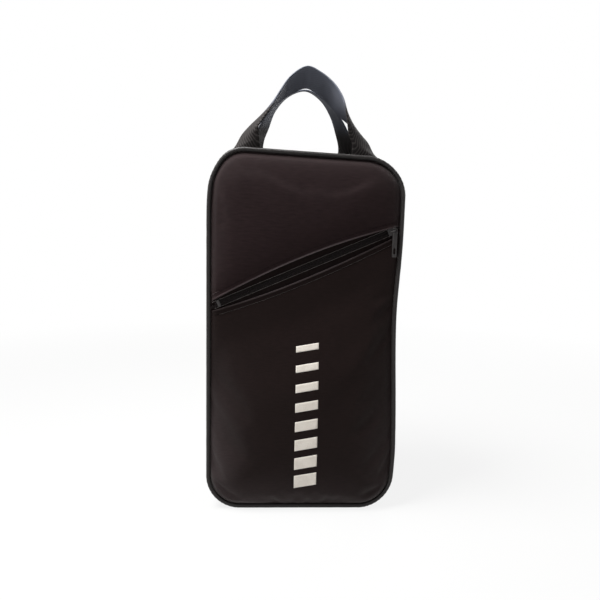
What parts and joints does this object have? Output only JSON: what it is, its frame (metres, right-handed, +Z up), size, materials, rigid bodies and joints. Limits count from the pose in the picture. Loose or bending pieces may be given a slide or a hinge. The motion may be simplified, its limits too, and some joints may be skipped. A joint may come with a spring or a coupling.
{
  "type": "shoe bag",
  "caption": "Upright soft shoe bag with piped panels, a zip round the gusset, a slanted zipped front pocket and twin webbing handles.",
  "frame": {"origin": "middle of the flat base, on the surface that the bag stands on", "axes": "+Z up, -Y out of the front panel with the pocket, +X to the right seen from the front"},
  "size_m": [0.191, 0.123, 0.4403],
  "materials": {
    "panel_cloth": "matte woven polyester",
    "pocket_cloth": "smooth coated polyester",
    "piping_cloth": "woven polyester over a cord",
    "tape_cloth": "knitted polyester tape",
    "webbing": "woven polypropylene",
    "zip_plastic": "nylon coil",
    "zip_metal": "dark satin lacquer",
    "print_film": "matte transfer print"
  },
  "bodies": {
    "rear_half": {"back_panel": "panel_cloth", "rear_gusset": "panel_cloth", "bottom_gusset": "panel_cloth", "rear_piping": "piping_cloth", "rear_seam_binding": "tape_cloth", "main_zip_tape_rear": "tape_cloth", "main_zip_teeth_rear": "zip_plastic", "main_zip_stops": "zip_metal", "zip_end_tabs": "panel_cloth", "rear_handle_ends": "webbing", "front_piping_base": "piping_cloth", "pocket_panel_base": "pocket_cloth", "pocket_lining_base": "tape_cloth", "front_binding_base": "tape_cloth", "printed_bars_base": "print_film"},
    "front_half": {"front_panel_upper": "panel_cloth", "pocket_panel": "pocket_cloth", "pocket_lining": "tape_cloth", "front_gusset": "panel_cloth", "front_piping": "piping_cloth", "front_seam_binding": "tape_cloth", "main_zip_tape_front": "tape_cloth", "main_zip_teeth_front": "zip_plastic", "pocket_zip_tape_upper": "tape_cloth", "pocket_zip_tape_lower": "tape_cloth", "pocket_zip_teeth_upper": "zip_plastic", "pocket_zip_teeth_lower": "zip_plastic", "pocket_zip_stop": "zip_metal", "printed_bars": "print_film", "front_handle_ends": "webbing"},
    "front_handle": {"front_handle": "webbing"},
    "rear_handle": {"rear_handle": "webbing"},
    "pocket_slider": {"pocket_slider": "zip_metal"},
    "pocket_pull": {"pocket_pull": "zip_metal"},
    "main_slider": {"main_slider": "zip_metal"},
    "main_pull": {"main_pull": "zip_metal"}
  },
  "joints": [
    {"name": "front_opening", "type": "hinge", "parent": "rear_half", "child": "front_half", "pos_m": [0, -0.0526, 0.045], "axis": [1, 0, 0], "range_deg": [0, 90]},
    {"name": "front_handle_swing", "type": "hinge", "parent": "front_half", "child": "front_handle", "pos_m": [0, -0.0465, 0.358], "axis": [1, 0, 0], "range_deg": [0, 60]},
    {"name": "rear_handle_swing", "type": "hinge", "parent": "rear_half", "child": "rear_handle", "pos_m": [0, 0.0465, 0.358], "axis": [-1, 0, 0], "range_deg": [0, 60]},
    {"name": "pocket_zip_slide", "type": "slide", "parent": "front_half", "child": "pocket_slider", "axis": [-0.9171, 0, -0.3987], "range_m": [0, 0.17]},
    {"name": "pocket_pull_swing", "type": "hinge", "parent": "pocket_slider", "child": "pocket_pull", "pos_m": [0.08731, -0.0544, 0.2819], "axis": [0, -1, 0], "range_deg": [-20, 100]},
    {"name": "main_zip_slide", "type": "slide", "parent": "rear_half", "child": "main_slider", "axis": [0, 0, 1], "range_m": [0, 0.24]},
    {"name": "main_pull_lift", "type": "hinge", "parent": "main_slider", "child": "main_pull", "pos_m": [-0.0947, 0, 0.066], "axis": [0, 1, 0], "range_deg": [0, 135]}
  ]
}
